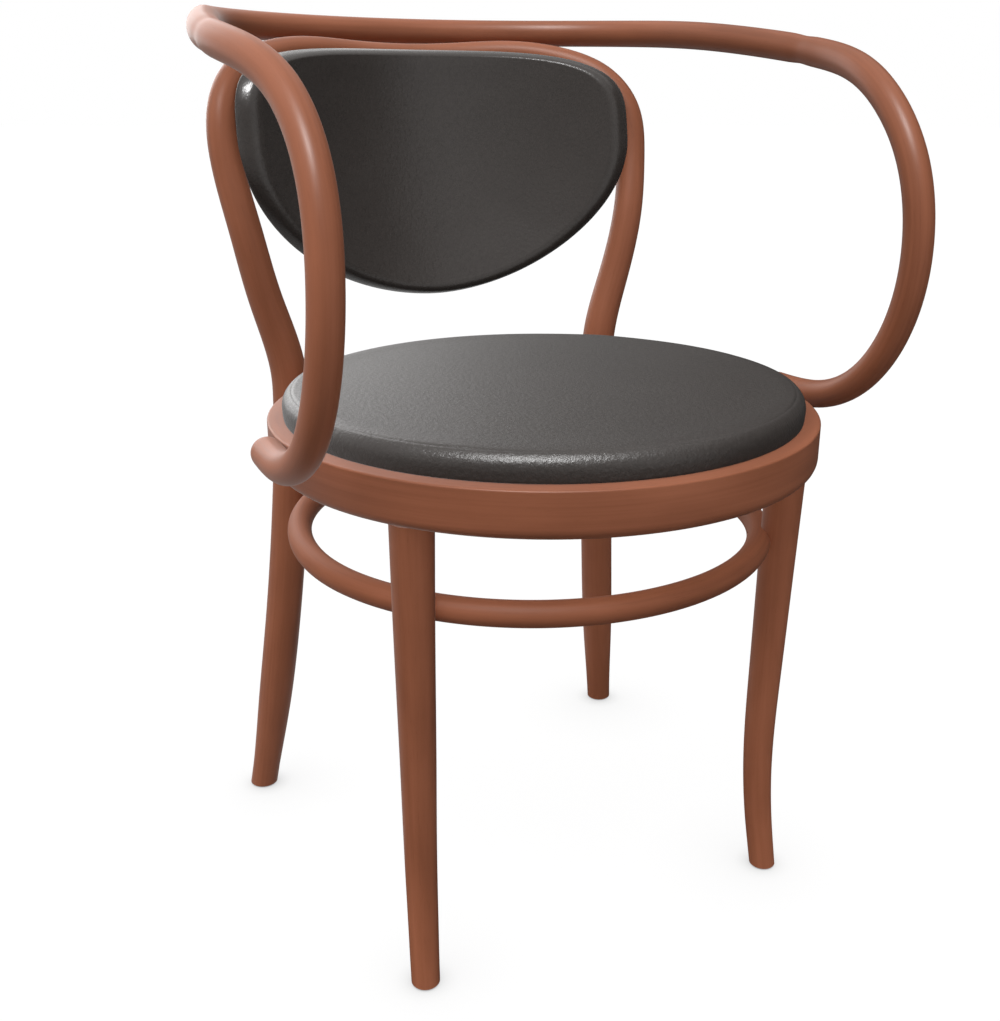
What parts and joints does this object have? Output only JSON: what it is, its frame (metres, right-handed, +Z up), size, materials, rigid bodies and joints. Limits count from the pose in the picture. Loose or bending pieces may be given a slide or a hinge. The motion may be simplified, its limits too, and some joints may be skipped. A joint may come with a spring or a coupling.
{
  "type": "bentwood armchair",
  "caption": "Bentwood armchair with a round leather seat pad, a shield-shaped leather back pad, looping bent arms and a round stretcher hoop.",
  "frame": {"origin": "middle of the chair's box on the floor", "axes": "+Z up, -Y to the front, X across the chair"},
  "size_m": [0.5342, 0.5352, 0.7501],
  "materials": {
    "stained_beech": "red-brown stain under satin lacquer",
    "dark_leather": "fine grained, semi-matt, dark warm grey",
    "plywood": "raw",
    "foam": "upholstery foam, hidden",
    "dust_cloth": "matt",
    "glide_plastic": "matt dark",
    "zinc_steel": "zinc plated"
  },
  "bodies": {
    "root": {"seat_ring": "stained_beech", "front_leg_left": "stained_beech", "front_leg_right": "stained_beech", "back_hoop": "stained_beech", "arm_bow": "stained_beech", "leg_ring": "stained_beech", "seat_cover": "dark_leather", "back_cover": "dark_leather", "back_panel": "dark_leather", "seat_board": "plywood", "back_board": "plywood", "seat_foam": "foam", "back_foam": "foam", "seat_dust_cloth": "dust_cloth", "front_glide_left": "glide_plastic", "front_glide_right": "glide_plastic", "rear_glide_left": "glide_plastic", "rear_glide_right": "glide_plastic", "seat_screw_1": "zinc_steel", "seat_screw_2": "zinc_steel", "seat_screw_3": "zinc_steel", "seat_screw_4": "zinc_steel", "leg_bolt_left": "zinc_steel", "leg_bolt_right": "zinc_steel", "leg_washer_left": "zinc_steel", "leg_washer_right": "zinc_steel", "arm_bolt_left": "zinc_steel", "arm_bolt_right": "zinc_steel", "arm_washer_left": "zinc_steel", "arm_washer_right": "zinc_steel", "pad_screw_top_left": "zinc_steel", "pad_screw_top_right": "zinc_steel", "pad_screw_side_left": "zinc_steel", "pad_screw_side_right": "zinc_steel", "rail_screw_left": "zinc_steel", "rail_screw_right": "zinc_steel", "leg_ring_screw_front_left": "zinc_steel", "leg_ring_screw_front_right": "zinc_steel", "leg_ring_screw_rear_left": "zinc_steel", "leg_ring_screw_rear_right": "zinc_steel"}
  },
  "joints": []
}
